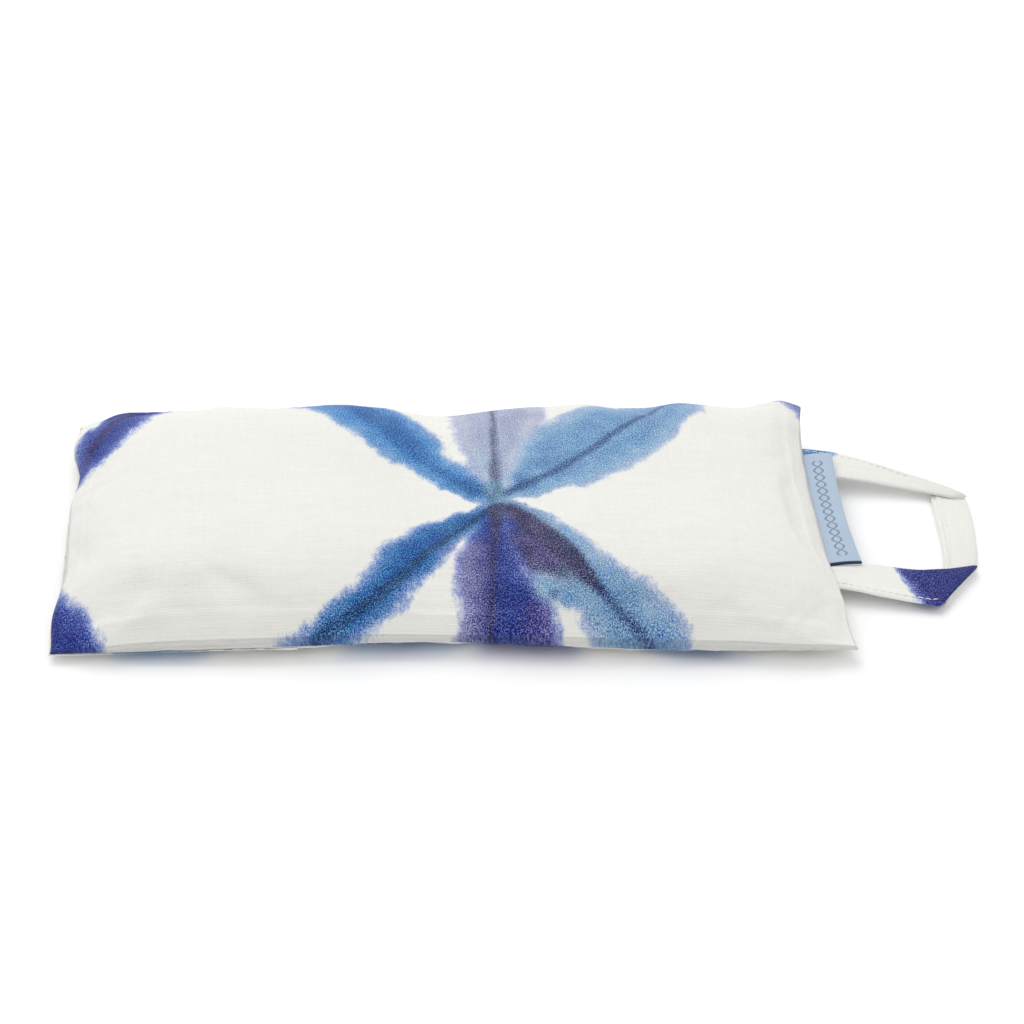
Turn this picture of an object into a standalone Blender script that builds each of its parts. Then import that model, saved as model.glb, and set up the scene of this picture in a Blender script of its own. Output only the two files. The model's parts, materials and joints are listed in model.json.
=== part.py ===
"""Eye pillow: a cotton cover with an envelope back, an inner pouch of flax seed, a hanging loop and a label.

Metres, +Z up. +X runs along the pillow to the end that carries the loop, and -Y is the front edge. The origin is on
the flat underside, at the middle of the cover. The bag bends across FOLD_X, so each cloth that crosses it is two
nodes there: the right half is fixed, and the left half turns up and over about the top of the waist.
"""

import math

import bmesh
import bpy
from mathutils import Vector

# The cover's outline, and the height of the seam that joins its top and its back.
HALF_LENGTH = 0.115
HALF_WIDTH = 0.055
SEAM_Z = 0.0075
TOP_Z = 0.021
CLOTH = 0.0004
GAP = 0.0003
ALLOWANCE = 0.006

# How the filled bag bulges: powers of the distance from the middle, and the waist where it bends.
END_POWER = 6
SIDE_POWER = 4
FULLNESS = 0.62
BACK_POWER = 9
BACK_FULLNESS = 1.25
WAIST = 0.08
WAIST_SPREAD = 0.032

# The bend across the middle.
FOLD_X = -0.006
HALF_CUT = 0.0002

# The envelope slit in the back: a short flap outside, overlapped by the long panel inside it.
FLAP_EDGE_X = -0.045
LONG_EDGE_X = -0.075
LIFT = 0.0009
LIFT_RAMP = 0.0035
HEM = 0.006

# The pouch of seed inside the cover, and the seed inside the pouch.
POUCH_INSET = 0.008
POUCH_CLOTH = 0.0003
POUCH_ALLOWANCE = 0.004
POUCH_BOTTOM_Z = 0.0020
SEED_INSET = 0.0055

# The hanging loop: one flat strap, folded under at both far corners and sewn into the end seam.
STRAP_WIDTH = 0.0125
STRAP = 0.0014
STRAP_Z = 0.0070
STRAP_BACK_Y = 0.0300
STRAP_FRONT_Y = -0.0237
LOOP_REACH = 0.0455
LOOP_FROM_X = HALF_LENGTH + 0.0018
LOOP_FLAT_FROM_X = HALF_LENGTH + 0.0275
LOOP_BITE = 0.0001

# The folded woven label, which lies on the strap's back run.
LABEL_Z = 0.00845
LABEL_FROM_Y = -0.0185
LABEL_TO_Y = 0.0310
LABEL_REACH = 0.0090
LABEL = 0.0003
LABEL_FROM_X = HALF_LENGTH + 0.0016

SEWN_IN = 0.0055
SEAM_OPEN = 0.0034
THREAD = 0.00024
THREAD_CLEAR = 0.00018

END_STATIONS = (0.0, 0.03, 0.07, 0.13, 0.22, 0.36, 0.52, 0.68, 0.84, 1.0)
SIDE_STATIONS = (0.0, 0.22, 0.44, 0.62, 0.75, 0.85, 0.93, 1.0)


class Layer:
    """A bag inside the cover: its outline, its highest and lowest point, its cloth and its seam allowance."""

    def __init__(self, inset, top, bottom, cloth, allowance):
        self.length = HALF_LENGTH - inset
        self.width = HALF_WIDTH - inset
        self.top = top
        self.bottom = bottom
        self.cloth = cloth
        self.allowance = allowance


POUCH_TOP_Z = TOP_Z - CLOTH - 1.6 * GAP
COVER = Layer(0.0, TOP_Z, 0.0, CLOTH, ALLOWANCE)
POUCH = Layer(POUCH_INSET, POUCH_TOP_Z, POUCH_BOTTOM_Z, POUCH_CLOTH, POUCH_ALLOWANCE)
SEED = Layer(
    POUCH_INSET + SEED_INSET,
    POUCH_TOP_Z - POUCH_CLOTH - 1.6 * GAP,
    POUCH_BOTTOM_Z + POUCH_CLOTH + GAP,
    0.0,
    0.0,
)


def smooth(t):
    """0 below 0, 1 above 1, and an S-curve between."""
    t = min(1.0, max(0.0, t))
    return t * t * (3 - 2 * t)


def seam_opening(x, y, layer):
    """How far apart the two seam allowances lie. The cover's open at the end seam, round the loop and the label."""
    if layer is not COVER:
        return GAP
    at_end = smooth((x - 0.100) / 0.009)
    off_corner = smooth((HALF_WIDTH - 0.0005 - abs(y)) / 0.008)
    return GAP + (SEAM_OPEN - GAP) * at_end * off_corner


def bulge(x, y, length, width, end_power, side_power):
    """1 over the middle of the bag, falling to 0 at its seam."""
    return (1 - abs(x / length) ** end_power) * (1 - abs(y / width) ** side_power)


def top_z(x, y, layer):
    """The outer surface of the bag's top."""
    edge = SEAM_Z + seam_opening(x, y, layer) / 2
    waist = 1 - WAIST * math.exp(-(((x - FOLD_X) / WAIST_SPREAD) ** 2))
    full = max(0.0, bulge(x, y, layer.length, layer.width, END_POWER, SIDE_POWER)) ** FULLNESS
    return edge + (layer.top - SEAM_Z) * waist * full


def back_z(x, y, layer, nest=0.0):
    """The outer surface of the bag's back, flat where it rests. Nest is how far it lies inside an outer panel."""
    edge = SEAM_Z - seam_opening(x, y, layer) / 2 - nest
    depth = edge - layer.bottom - nest
    full = BACK_FULLNESS * bulge(x, y, layer.length, layer.width - 2 * nest, BACK_POWER, BACK_POWER)
    return edge - depth * min(1.0, full)


def nested(x):
    """How far the long back panel lies inside the flap: it steps in just before the flap's free edge."""
    return LIFT * smooth((FLAP_EDGE_X + 0.0004 + LIFT_RAMP - x) / LIFT_RAMP)


def material(name, colour, roughness=0.9):
    made = bpy.data.materials.new(name)
    made.use_nodes = True
    shader = made.node_tree.nodes["Principled BSDF"]
    shader.inputs["Base Color"].default_value = (*colour, 1.0)
    shader.inputs["Roughness"].default_value = roughness
    shader.inputs["Metallic"].default_value = 0.0
    return made


def as_object(name, bm, surface):
    mesh = bpy.data.meshes.new(name)
    bm.to_mesh(mesh)
    bm.free()
    mesh.shade_smooth()
    mesh.set_sharp_from_angle(angle=math.radians(40))
    made = bpy.data.objects.new(name, mesh)
    made.data.materials.append(surface)
    bpy.context.scene.collection.objects.link(made)
    return made


def thicken(made, thickness, offset=-1.0):
    """Gives a sheet its cloth thickness, on its inner side by default."""
    solid = made.modifiers.new("cloth", "SOLIDIFY")
    solid.thickness = thickness
    solid.offset = offset
    solid.use_even_offset = True
    return made


def stations(start, end, shares):
    return [start + (end - start) * share for share in shares]


def rows_across(width):
    """Places across the bag from the front seam to the back seam, closer together near the seams."""
    back = [width * share for share in SIDE_STATIONS]
    return [-y for y in reversed(back[1:])] + back


def grid_faces(bm, points, upward):
    """Faces over a grid of points, columns along X and rows along Y."""
    corners = [[bm.verts.new(p) for p in column] for column in points]
    for i in range(len(corners) - 1):
        for j in range(len(corners[0]) - 1):
            face = [corners[i][j], corners[i + 1][j], corners[i + 1][j + 1], corners[i][j + 1]]
            bm.faces.new(face if (corners[i + 1][j].co.x > corners[i][j].co.x) == upward else face[::-1])
    return corners


def turn_in(bm, cut_xs, layer, seam_z):
    """Turns the seam allowance in along every edge but the free ones, with mitred corners."""
    free = [x for x in cut_xs if x is not None]

    def sewn(edge):
        return not any(all(abs(v.co.x - x) < 1e-6 for v in edge.verts) for x in free)

    rim = [edge for edge in bm.edges if edge.is_boundary and sewn(edge)]
    made = bmesh.ops.extrude_edge_only(bm, edges=rim)
    reach_x = layer.length - layer.allowance
    for v in (item for item in made["geom"] if isinstance(item, bmesh.types.BMVert)):
        width = abs(v.co.y) if abs(v.co.y) > layer.width - 0.003 else layer.width
        reach_y = width - layer.allowance
        x = min(reach_x, max(-reach_x, v.co.x))
        y = min(reach_y, max(-reach_y, v.co.y))
        v.co = Vector((x, y, seam_z(v.co.x, v.co.y)))


def panel(name, xs, free_xs, layer, height, seam_z, width, upward, surface):
    """One cut piece of a bag: its outer surface over the places xs, with the seam allowance turned in."""
    bm = bmesh.new()
    points = [[(x, y, height(x, y)) for y in rows_across(width(x))] for x in xs]
    grid_faces(bm, points, upward)
    turn_in(bm, free_xs, layer, seam_z)
    return thicken(as_object(name, bm, surface), layer.cloth)


def top_panel(name, end_x, cut_x, layer, surface):
    return panel(
        name,
        stations(end_x, cut_x, END_STATIONS),
        [cut_x],
        layer,
        lambda x, y: top_z(x, y, layer),
        lambda x, y: SEAM_Z + seam_opening(x, y, layer) / 2,
        lambda x: layer.width,
        True,
        surface,
    )


def back_panel(name, end_x, cut_x, layer, surface):
    return panel(
        name,
        stations(end_x, cut_x, END_STATIONS),
        [cut_x],
        layer,
        lambda x, y: back_z(x, y, layer),
        lambda x, y: SEAM_Z - seam_opening(x, y, layer) / 2,
        lambda x: layer.width,
        False,
        surface,
    )


def back_long_left(surface):
    """The long back panel from its free edge inside the flap to the bend."""
    ramp = [FLAP_EDGE_X + 0.0004 + LIFT_RAMP * share for share in (0.0, 0.33, 0.67, 1.0)]
    inside = stations(LONG_EDGE_X, ramp[0], (0.0, 0.35, 0.7))
    outside = stations(ramp[-1], FOLD_X - HALF_CUT, (0.3, 0.6, 1.0))
    return panel(
        "cover_back_left",
        inside + ramp + outside,
        [LONG_EDGE_X, FOLD_X - HALF_CUT],
        COVER,
        lambda x, y: back_z(x, y, COVER, nested(x)),
        lambda x, y: SEAM_Z - GAP / 2 - nested(x),
        lambda x: HALF_WIDTH - 2 * nested(x),
        False,
        surface,
    )


def seed_half(name, end_x, cut_x, surface):
    """The loose seed that settles in one half of the pouch, as one closed body."""
    bm = bmesh.new()
    xs = stations(end_x, cut_x, END_STATIONS)
    ys = rows_across(SEED.width)
    grid_faces(bm, [[(x, y, top_z(x, y, SEED) - GAP / 2) for y in ys] for x in xs], True)
    grid_faces(bm, [[(x, y, back_z(x, y, SEED) + GAP / 2) for y in ys] for x in xs], False)
    bmesh.ops.remove_doubles(bm, verts=bm.verts, dist=0.00001)
    cut = [e for e in bm.edges if e.is_boundary]
    bmesh.ops.contextual_create(bm, geom=cut)
    bmesh.ops.recalc_face_normals(bm, faces=bm.faces)
    return as_object(name, bm, surface)


def thread(name, points, surface):
    """A sewing thread along a line of points."""
    line = bpy.data.curves.new(name, "CURVE")
    line.dimensions = "3D"
    line.bevel_depth = THREAD / 2
    line.bevel_resolution = 1
    line.use_fill_caps = True
    run = line.splines.new("POLY")
    run.points.add(len(points) - 1)
    for point, place in zip(run.points, points):
        point.co = (*place, 1.0)
    made = bpy.data.objects.new(name, line)
    made.data.materials.append(surface)
    bpy.context.scene.collection.objects.link(made)
    return made


def seam_thread(name, end_x, cut_x, layer, surface):
    """The seam's thread, inside the bag on the top's allowance, from the bend round one end and back to the bend."""
    inside = layer.allowance / 2
    side = math.copysign(1.0, end_x)
    end = abs(end_x) - inside
    width = layer.width - inside
    turn = 2 * inside
    along = stations(cut_x, side * (end - turn), (0.0, 0.25, 0.5, 0.75, 0.9, 1.0))
    across = stations(width - turn, turn - width, [k / 12 for k in range(13)])
    cut_corner = (side * (end - 0.42 * turn), width - 0.42 * turn)
    route = [(x, width) for x in along] + [cut_corner] + [(side * end, y) for y in across]
    route += [(cut_corner[0], -cut_corner[1])] + [(x, -width) for x in reversed(along)]
    height = layer.cloth + THREAD_CLEAR + THREAD / 2
    lift = [seam_opening(x, y, layer) / 2 for x, y in route]
    return thread(name, [(x, y, SEAM_Z + up + height) for (x, y), up in zip(route, lift)], surface)


def hem_threads(surface):
    """The stitching across the slit's two hems, on the inner face of each."""
    half = HALF_WIDTH - 0.013
    on_flap = CLOTH + THREAD_CLEAR + THREAD / 2
    thread("flap_hem_thread", [(FLAP_EDGE_X - HEM, y, on_flap) for y in (-half, 0.0, half)], surface)
    on_long = LIFT + CLOTH + THREAD_CLEAR + THREAD / 2
    thread("slit_hem_thread", [(LONG_EDGE_X + HEM, y, on_long) for y in (-half, 0.0, half)], surface)


def slab(name, sides, thickness, surface):
    """A flat strap: pairs of points along its two edges, with its underside on them."""
    bm = bmesh.new()
    pairs = [[bm.verts.new(p) for p in pair] for pair in sides]
    for (a, b), (c, d) in zip(pairs, pairs[1:]):
        bm.faces.new((a, c, d, b) if c is not a else (a, d, b))
    lifted = bmesh.ops.extrude_face_region(bm, geom=bm.faces[:])
    for v in (item for item in lifted["geom"] if isinstance(item, bmesh.types.BMVert)):
        v.co.z += thickness
    bmesh.ops.recalc_face_normals(bm, faces=bm.faces)
    return as_object(name, bm, surface)


def strap_z(x):
    """The underside of the strap's two runs, from the end seam down to where they lie on the far run."""
    flat = STRAP - LOOP_BITE
    seam = STRAP_Z - STRAP / 2
    return flat + (seam - flat) * smooth((LOOP_FLAT_FROM_X - x) / (LOOP_FLAT_FROM_X - LOOP_FROM_X) * 0.5) * 2


def strap_run(name, outer_y, inner_y, surface):
    """One of the strap's two runs out from the seam, ending in the slanting edge where it folds under."""
    far_x = HALF_LENGTH + LOOP_REACH
    fold_x = far_x - STRAP_WIDTH
    xs = [*stations(LOOP_FROM_X, LOOP_FLAT_FROM_X, (0.0, 0.2, 0.4, 0.6, 0.8, 1.0)), fold_x]
    sides = [((x, inner_y, strap_z(x)), (x, outer_y, strap_z(x))) for x in xs]
    near_tip = 0.0002
    tip_y = inner_y + math.copysign(near_tip, outer_y - inner_y)
    sides.append(((far_x, inner_y, strap_z(far_x)), (far_x, tip_y, strap_z(far_x))))
    return slab(name, sides, STRAP, surface)


def hanging_loop(surface):
    """The strap outside the seam: a far run on the table, with the two long runs folded over onto it."""
    far_x = HALF_LENGTH + LOOP_REACH
    fold_x = far_x - STRAP_WIDTH
    half = STRAP_WIDTH / 2
    back_out, back_in = STRAP_BACK_Y + half, STRAP_BACK_Y - half
    front_out, front_in = STRAP_FRONT_Y - half, STRAP_FRONT_Y + half
    loop = slab(
        "hanging_loop",
        [
            ((fold_x, front_out, 0.0), (fold_x, back_out, 0.0)),
            ((far_x, front_in, 0.0), (far_x, back_in, 0.0)),
        ],
        STRAP,
        surface,
    )
    for name, outer_y, inner_y in (("back_run", back_out, back_in), ("front_run", front_out, front_in)):
        run = strap_run(name, outer_y, inner_y, surface)
        run.hide_render = True
        run.display_type = "WIRE"
        joined = loop.modifiers.new(name, "BOOLEAN")
        joined.operation = "UNION"
        joined.object = run
    return loop


def loop_threads(surface):
    """The topstitching along the strap's open edge, which the folds bring to the inner edge of the far run."""
    in_from_edge = 0.002
    above = STRAP + THREAD_CLEAR + THREAD / 2
    half = STRAP_WIDTH / 2 - in_from_edge
    fold_x = HALF_LENGTH + LOOP_REACH - STRAP_WIDTH
    xs = stations(LOOP_FROM_X + 0.001, fold_x, (0.0, 0.2, 0.4, 0.6, 0.8, 1.0))
    for name, y in (("loop_thread_back", STRAP_BACK_Y + half), ("loop_thread_front", STRAP_FRONT_Y - half)):
        thread(name, [(x, y, strap_z(x) + above) for x in xs], surface)
    clear = STRAP_WIDTH / 2 + 0.001
    ends = (STRAP_FRONT_Y + clear, STRAP_BACK_Y - clear)
    thread("loop_thread_far", [(fold_x + in_from_edge, y, above) for y in ends], surface)


def block(name, low, high, surface):
    """A flat piece of cloth between two corners."""
    sides = [((x, low[1], low[2]), (x, high[1], low[2])) for x in (low[0], high[0])]
    return slab(name, sides, high[2] - low[2], surface)


def sewn_ends(strap, label):
    """The ends of the strap and of the label that lie in the end seam, between the two allowances."""
    near, far = HALF_LENGTH - SEWN_IN, HALF_LENGTH
    half = STRAP_WIDTH / 2
    for name, y in (("loop_sewn_end_back", STRAP_BACK_Y), ("loop_sewn_end_front", STRAP_FRONT_Y)):
        block(name, (near, y - half, STRAP_Z - STRAP / 2), (far, y + half, STRAP_Z + STRAP / 2), strap)
    block(
        "label_sewn_end",
        (near, LABEL_FROM_Y, LABEL_Z - LABEL),
        (far, LABEL_TO_Y, LABEL_Z + LABEL),
        label,
    )


def woven_label(surface):
    """The label outside the seam, folded back on itself along its outer edge."""
    radius = LABEL
    turn_x = HALF_LENGTH + LABEL_REACH - radius - LABEL / 2
    angles = [math.radians(90 - 30 * k) for k in range(7)]
    bend = [(turn_x + radius * math.cos(a), LABEL_Z + radius * math.sin(a)) for a in angles]
    profile = [(LABEL_FROM_X, LABEL_Z + radius), *bend, (LABEL_FROM_X, LABEL_Z - radius)]
    bm = bmesh.new()
    lines = [[bm.verts.new((x, y, z)) for y in (LABEL_FROM_Y, LABEL_TO_Y)] for x, z in profile]
    for (a, b), (c, d) in zip(lines, lines[1:]):
        bm.faces.new((a, c, d, b))
    return thicken(as_object("woven_label", bm, surface), LABEL, 0.0)


def main():
    for old in list(bpy.data.objects):
        bpy.data.objects.remove(old)
    cotton = material("dyed cotton", (0.88, 0.88, 0.85))
    muslin = material("pouch muslin", (0.86, 0.83, 0.74))
    seed = material("flax seed", (0.30, 0.16, 0.07), 0.5)
    sewing = material("sewing thread", (0.92, 0.92, 0.90))
    damask = material("label damask", (0.55, 0.65, 0.76), 0.7)

    halves = (
        ("left", -1.0, FOLD_X - HALF_CUT),
        ("right", 1.0, FOLD_X + HALF_CUT),
    )
    for half, side, cut_x in halves:
        top_panel(f"cover_top_{half}", side * COVER.length, cut_x, COVER, cotton)
        top_panel(f"pouch_top_{half}", side * POUCH.length, cut_x, POUCH, muslin)
        back_panel(f"pouch_bottom_{half}", side * POUCH.length, cut_x, POUCH, muslin)
        seed_half(f"seed_fill_{half}", side * SEED.length, cut_x, seed)
        seam_thread(f"cover_seam_thread_{half}", side * COVER.length, cut_x, COVER, sewing)
        seam_thread(f"pouch_seam_thread_{half}", side * POUCH.length, cut_x, POUCH, sewing)
    back_panel("cover_back_right", COVER.length, FOLD_X + HALF_CUT, COVER, cotton)
    back_long_left(cotton)
    back_panel("cover_back_flap", -COVER.length, FLAP_EDGE_X, COVER, cotton)
    hem_threads(sewing)
    hanging_loop(cotton)
    loop_threads(sewing)
    sewn_ends(cotton, damask)
    woven_label(damask)


main()
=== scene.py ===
import json
import math

import bmesh
import bpy
import numpy as np
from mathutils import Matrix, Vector


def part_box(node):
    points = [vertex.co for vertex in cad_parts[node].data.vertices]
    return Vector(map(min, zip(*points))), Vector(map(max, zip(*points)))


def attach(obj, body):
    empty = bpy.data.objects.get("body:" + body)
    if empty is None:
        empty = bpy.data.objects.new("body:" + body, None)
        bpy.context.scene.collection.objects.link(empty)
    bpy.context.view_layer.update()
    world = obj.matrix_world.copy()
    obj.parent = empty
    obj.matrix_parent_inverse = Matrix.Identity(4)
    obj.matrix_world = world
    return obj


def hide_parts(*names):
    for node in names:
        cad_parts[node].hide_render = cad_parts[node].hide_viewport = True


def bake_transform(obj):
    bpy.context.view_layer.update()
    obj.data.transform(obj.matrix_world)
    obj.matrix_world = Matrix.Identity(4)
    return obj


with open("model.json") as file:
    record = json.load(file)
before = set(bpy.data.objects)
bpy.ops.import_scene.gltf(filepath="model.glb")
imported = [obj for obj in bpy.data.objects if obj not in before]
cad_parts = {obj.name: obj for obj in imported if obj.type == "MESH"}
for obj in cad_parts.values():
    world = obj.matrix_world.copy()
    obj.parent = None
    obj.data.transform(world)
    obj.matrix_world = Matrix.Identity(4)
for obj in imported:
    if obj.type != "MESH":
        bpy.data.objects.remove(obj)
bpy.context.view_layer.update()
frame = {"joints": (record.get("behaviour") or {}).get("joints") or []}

RIGHT, LEFT = "pillow_right", "pillow_left"

# From the CAD: the cover's half length and half width, its crown, its flap's free edge and the hinges.
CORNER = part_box("cover_top_right")[1]
L, W, CREST = CORNER.x, CORNER.y, CORNER.z + 0.0013
FLAP_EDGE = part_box("cover_back_flap")[1].x
PIVOTS = {joint["name"]: joint["pos_m"] for joint in frame["joints"]}
FOLD, LOOP_PIVOT = PIVOTS["waist_fold"], PIVOTS["loop_swing"]
LOOP_LOW, LOOP_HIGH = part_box("hanging_loop")

MM = 0.001
GRID = (112, 60)  # points along and across the bag
SKEW = 0.0036  # a sewn bag shears a little off square
CLOTH = 0.00045  # the cloth's thickness
NEST = 0.0009  # how far the underside is raised over the flap
FLOOR = -0.0003  # just under the cloth that rests on it


# ---------------------------------------------------------------- numbers


def smooth(t):
    t = np.clip(t, 0.0, 1.0)
    return t * t * (3 - 2 * t)


def hump(x, centre, spread):
    return np.exp(-(((x - centre) / spread) ** 2))


def humps(x, rows):
    """The sum of humps along a line, each (height, place, spread)."""
    return sum(height * hump(x, centre, spread) for height, centre, spread in rows)


def with_bumps(z, a, b, rows):
    """z with round bumps added, each (height, place and spread along, place and spread across)."""
    for height, along, long, across, wide in rows:
        z = z + height * hump(a, along, long) * hump(b, across, wide)
    return z


def lattice(ix, iy, seed):
    """A repeatable pseudo-random number from 0 to 1 for each whole-number point."""
    n = (ix * 374761393 + iy * 668265263 + seed * 974634777) & 0x7FFFFFFF
    n = ((n ^ (n >> 13)) * 1274126177) & 0x7FFFFFFF
    n = ((n ^ (n >> 16)) * 2246822519) & 0x7FFFFFFF
    return (n & 0xFFFF) / 65535.0


def noise(x, y, size, seed=0):
    """Smooth noise from -1 to 1 with features of about that size."""
    fx, fy = x / size, y / size
    ix, iy = np.floor(fx).astype(np.int64), np.floor(fy).astype(np.int64)
    tx, ty = smooth(fx - ix), smooth(fy - iy)
    low = lattice(ix, iy, seed) * (1 - tx) + lattice(ix + 1, iy, seed) * tx
    high = lattice(ix, iy + 1, seed) * (1 - tx) + lattice(ix + 1, iy + 1, seed) * tx
    return 2 * (low * (1 - ty) + high * ty) - 1


def linear(r, g, b):
    """A colour as it looks on screen, 0 to 255, as the linear values that shaders take."""
    made = np.array([r, g, b]) / 255
    return np.where(made <= 0.04045, made / 12.92, ((made + 0.055) / 1.055) ** 2.4)


# ---------------------------------------------------------------- the bag's shape


# The seam lifts or drops at the corners, in metres; the back right corner curls up.
CORNERS = [
    (0.0062, 0.945, 0.10, 1.0, 0.3),
    (-0.0026, -1.0, 0.12, 1.0, 0.35),
    (-0.0022, -1.0, 0.25, -1.0, 0.3),
    (-0.0004, 1.0, 0.25, -1.0, 0.3),
]
# The left end seam wanders in and out across the bag.
LEFT_END = [(-0.0008, 0.75, 0.20), (0.0018, 0.42, 0.17), (-0.0018, -0.78, 0.18)]
# The crown rises and dips along the back edge.
BACK_CROWN = [
    (0.0022, -0.026, 0.016),
    (0.0016, -0.012, 0.007),
    (-0.0012, -0.086, 0.014),
    (0.0005, 0.036, 0.012),
    (0.0014, 0.046, 0.009),
    (0.0028, 0.077, 0.011),
]
# Dents near the seams, in millimetres deep, at places in metres.
DENTS = [
    (-1.5, -0.087, 0.010, -0.0425, 0.006),
    (-1.1, -0.074, 0.007, -0.0435, 0.005),
    (-1.2, 0.079, 0.010, -0.0435, 0.006),
    (-0.5, 0.101, 0.006, 0.040, 0.010),
]


def seam_z(a, b):
    """The height of the seam round the bag; a and b run from -1 to 1 along and across it."""
    z = 0.0058 + 0.0010 * b
    z = z - 0.0010 * np.clip(-b, 0, 1) ** 2 * (hump(a, 0.66, 0.3) + 0.6 * hump(a, -0.68, 0.3))
    return with_bumps(z, a, b, CORNERS)


def outline(u, v):
    """Where a point of the cut cloth lies: the seams bow in between the corners, and more so at the waist."""
    a, b = u / L, v / W
    bow = np.where(u > 0, 0.0125 + 0.006 * b, 0.003 - 0.002 * b)
    x = u * (1 - bow * (1 - b**2)) - SKEW * b
    x = x + 0.0012 * np.sign(u) * np.abs(a) ** 14 * np.abs(b) ** 10
    x = x + humps(b, LEFT_END) * hump(a, -1.0, 0.3) + 0.0014 * hump(a, -1.0, 0.05) * hump(b, 1.0, 0.12)
    v = v - 0.0012 * hump(a, -1.0, 0.04) * hump(b, 1.0, 0.12)
    front = 0.046 * hump(u, FOLD[0], 0.034) * np.clip(-b, 0, 1) ** 2
    back = 0.020 * hump(u, FOLD[0] - 0.004, 0.040) * np.clip(b, 0, 1) ** 2
    return x, v * (1 - front - back)


def top_surface(u, v):
    """The top cloth: a crown that dips at the waist, and comes down to the seam on all sides."""
    a, b = u / L, v / W
    x, y = outline(u, v)
    seam = seam_z(a, b)
    crest = CREST - 0.0046 * hump(u, FOLD[0] + 0.003, 0.020) - 0.0012 * np.clip(-a, 0, 1) ** 2
    crest = crest + humps(u, BACK_CROWN) * smooth(b / 0.8)
    side = np.where(b > 0, 5.4, 4.0)
    full = np.clip((1 - np.abs(a) ** 6) * (1 - np.abs(b) ** side), 0, 1) ** 0.62
    return x, y, seam + (crest - seam) * full


def nest(u):
    """How high the underside lies, so that the flap has room under it."""
    return NEST * smooth((FLAP_EDGE + 0.004 - u) / 0.004)


def back_surface(u, v):
    """The underside, flat where it rests, and raised where the flap lies under it."""
    a, b = u / L, v / W
    x, y = outline(u, v)
    seam = seam_z(a, b)
    full = np.minimum(1.0, 1.25 * (1 - np.abs(a) ** 9) * (1 - np.abs(b) ** 9))
    return x, y, seam - (seam - nest(u)) * full


def spread(count, half, gather=0.25):
    """Evenly numbered places from -half to half, closer together near the seams."""
    t = np.linspace(-1, 1, count)
    return half * t * (1 + gather - gather * t * t)


def shell(us, vs):
    """The bag as one closed grid: its points, its faces, each point's place on the cut cloth with its side,
    which is 1 on top, 0 in the seam and -1 on the back, and the numbers of the back's points."""
    nu, nv = len(us), len(vs)
    u, v = np.meshgrid(us, vs, indexing="ij")
    top = np.stack(top_surface(u, v), -1)
    back = np.stack(back_surface(u, v), -1)
    ids_top = np.arange(nu * nv).reshape(nu, nv)
    inner = np.zeros((nu, nv), bool)
    inner[1:-1, 1:-1] = True
    ids_back = ids_top.copy()
    ids_back[inner] = nu * nv + np.arange(inner.sum())
    points = np.concatenate([top.reshape(-1, 3), back[inner]])
    side = np.where(inner, 1.0, 0.0)
    under = np.stack([u[inner], v[inner], -np.ones(inner.sum())], -1)
    places = np.concatenate([np.stack([u, v, side], -1).reshape(-1, 3), under])
    a, b, c, d = ids_top[:-1, :-1], ids_top[1:, :-1], ids_top[1:, 1:], ids_top[:-1, 1:]
    above = np.stack([a, b, c, d], -1).reshape(-1, 4)
    a, b, c, d = ids_back[:-1, :-1], ids_back[:-1, 1:], ids_back[1:, 1:], ids_back[1:, :-1]
    below = np.stack([a, b, c, d], -1).reshape(-1, 4)
    return points, np.concatenate([above, below]), places, ids_back


# ---------------------------------------------------------------- meshes


def mesh_object(name, points, faces, places=None):
    mesh = bpy.data.meshes.new(name)
    mesh.from_pydata([tuple(p) for p in points], [], [tuple(int(i) for i in f) for f in faces])
    mesh.update()
    if places is not None:
        kept = mesh.attributes.new("cloth", "FLOAT_VECTOR", "POINT")
        kept.data.foreach_set("vector", np.asarray(places, np.float32).ravel())
    made = bpy.data.objects.new(name, mesh)
    bpy.context.scene.collection.objects.link(made)
    mesh.shade_smooth()
    return made


def vectors(data, key):
    """The vector that each of a mesh's items keeps under a key."""
    out = np.empty(len(data) * 3, np.float32)
    data.foreach_get(key, out)
    return out.reshape(-1, 3).astype(float)


def positions(mesh):
    return vectors(mesh.vertices, "co")


def place(mesh, points):
    mesh.vertices.foreach_set("co", np.asarray(points, np.float32).ravel())
    mesh.update()


def evaluated_mesh(obj):
    bpy.context.view_layer.update()
    graph = bpy.context.evaluated_depsgraph_get()
    return bpy.data.meshes.new_from_object(obj.evaluated_get(graph), depsgraph=graph)


def apply_modifiers(obj):
    made = evaluated_mesh(obj)
    obj.modifiers.clear()
    old, obj.data = obj.data, made
    bpy.data.meshes.remove(old)
    made.name = obj.name
    return obj


def subdivided(obj, levels=1):
    round_off = obj.modifiers.new("round", "SUBSURF")
    round_off.levels = round_off.render_levels = levels
    return apply_modifiers(obj)


def cut_places(mesh):
    """Each point's place on the cut cloth, with its side."""
    return vectors(mesh.attributes["cloth"].data, "vector")


def put_float(mesh, name, values):
    kept = mesh.attributes.get(name) or mesh.attributes.new(name, "FLOAT", "POINT")
    kept.data.foreach_set("value", np.asarray(values, np.float32))


def put_colour(mesh, name, values):
    kept = mesh.attributes.get(name) or mesh.attributes.new(name, "FLOAT_COLOR", "POINT")
    rgba = np.concatenate([values, np.ones((len(values), 1))], 1)
    kept.data.foreach_set("color", np.asarray(rgba, np.float32).ravel())


def face_out(obj):
    bm = bmesh.new()
    bm.from_mesh(obj.data)
    bmesh.ops.recalc_face_normals(bm, faces=bm.faces)
    bm.to_mesh(obj.data)
    bm.free()
    obj.data.shade_smooth()


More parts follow.
